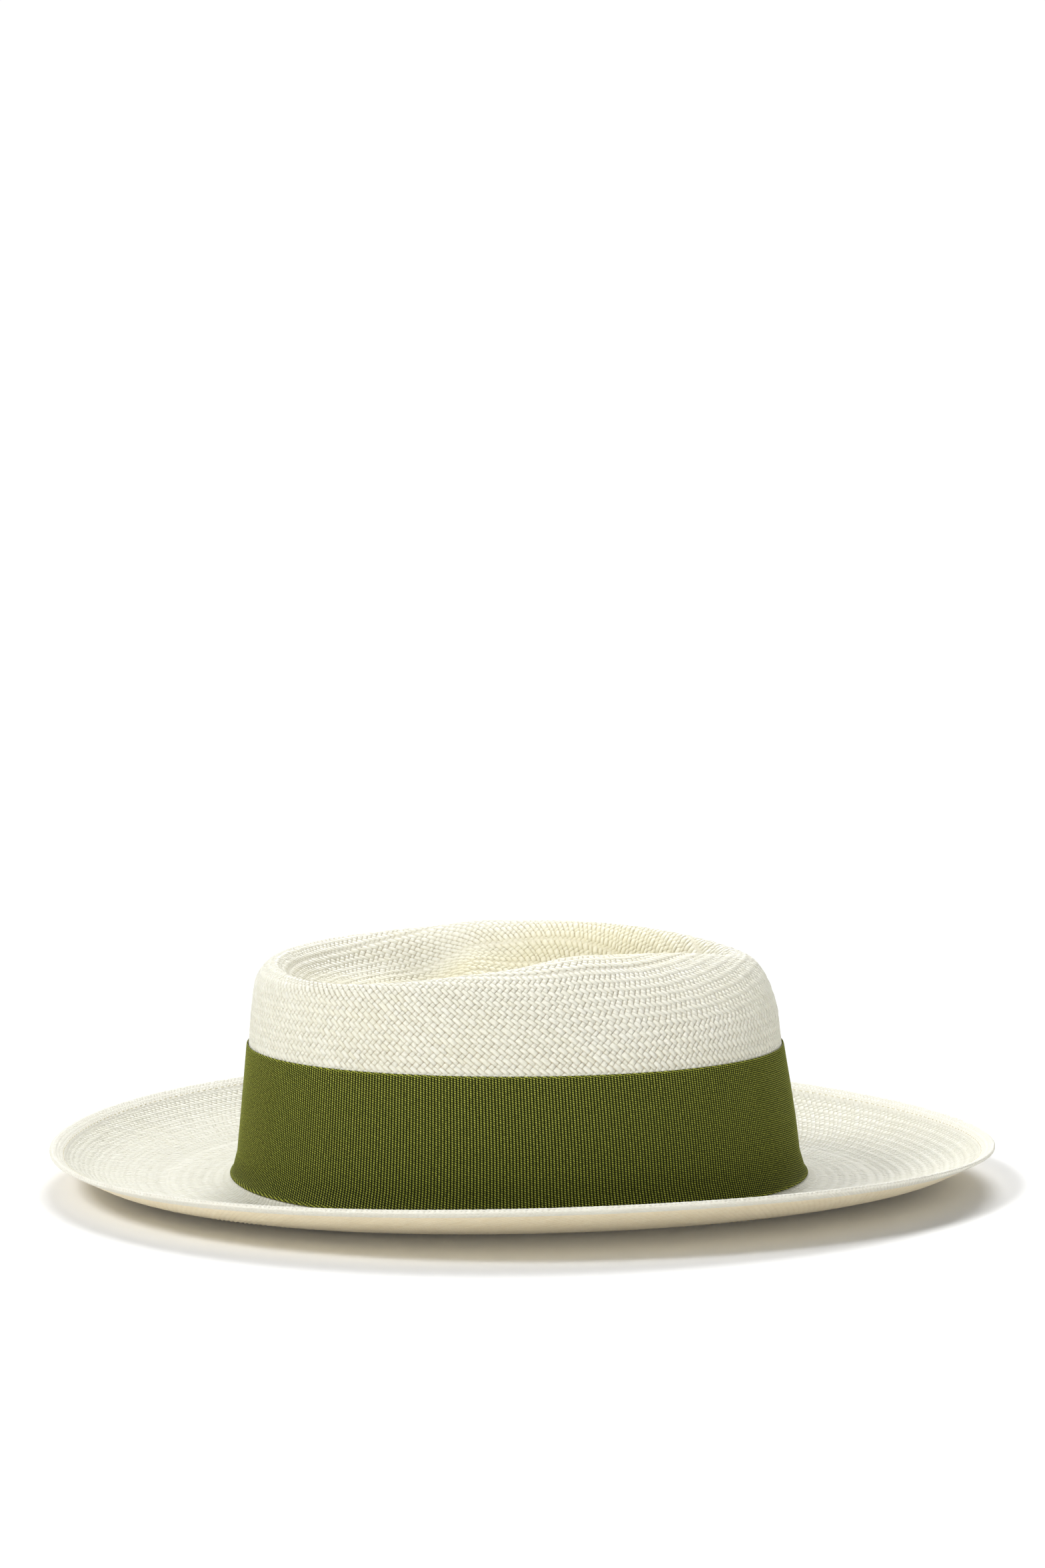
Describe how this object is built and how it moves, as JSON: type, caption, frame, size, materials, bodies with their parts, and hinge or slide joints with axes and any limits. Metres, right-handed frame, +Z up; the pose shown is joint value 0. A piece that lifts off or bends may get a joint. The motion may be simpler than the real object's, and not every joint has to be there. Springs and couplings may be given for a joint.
{
  "type": "panama hat",
  "caption": "Woven straw hat with a dented teardrop crown, a wide upturned hemmed brim, a ribbon band with a flat bow and a leather sweatband.",
  "frame": {"origin": "centre of the hat's box, at the level of the surface that the brim rests on", "axes": "+X towards the wearer's front, +Y towards the wearer's left (the bow side), +Z up"},
  "size_m": [0.3474, 0.322, 0.09],
  "materials": {
    "straw": "fine diagonal straw weave, matte with a faint gloss on each strand",
    "straw_hem": "folded straw edge, matte",
    "straw_thread": "fine matte thread",
    "wire": "drawn steel wire inside the hem",
    "ribbon": "ribbed olive grosgrain, matte with a soft sheen",
    "sweatband_leather": "smooth tan leather, satin",
    "sweatband_ribbon": "narrow matte ribbon",
    "reed_cover": "waxed cloth over a thin reed",
    "sweatband_stitching": "waxed thread",
    "label_cloth": "plain woven cloth, blank"
  },
  "bodies": {
    "root": {"straw_body": "straw", "brim_edge_hem": "straw_hem", "brim_edge_wire": "wire", "brim_hem_thread": "straw_thread", "hat_band": "ribbon", "bow_front_loop": "ribbon", "bow_rear_loop": "ribbon", "bow_tail": "ribbon", "bow_knot": "ribbon", "sweatband": "sweatband_leather", "sweatband_seam_cover": "sweatband_leather", "sweatband_back_bow": "sweatband_ribbon", "sweatband_reed": "reed_cover", "sweatband_thread": "sweatband_stitching", "size_label": "label_cloth"}
  },
  "joints": []
}
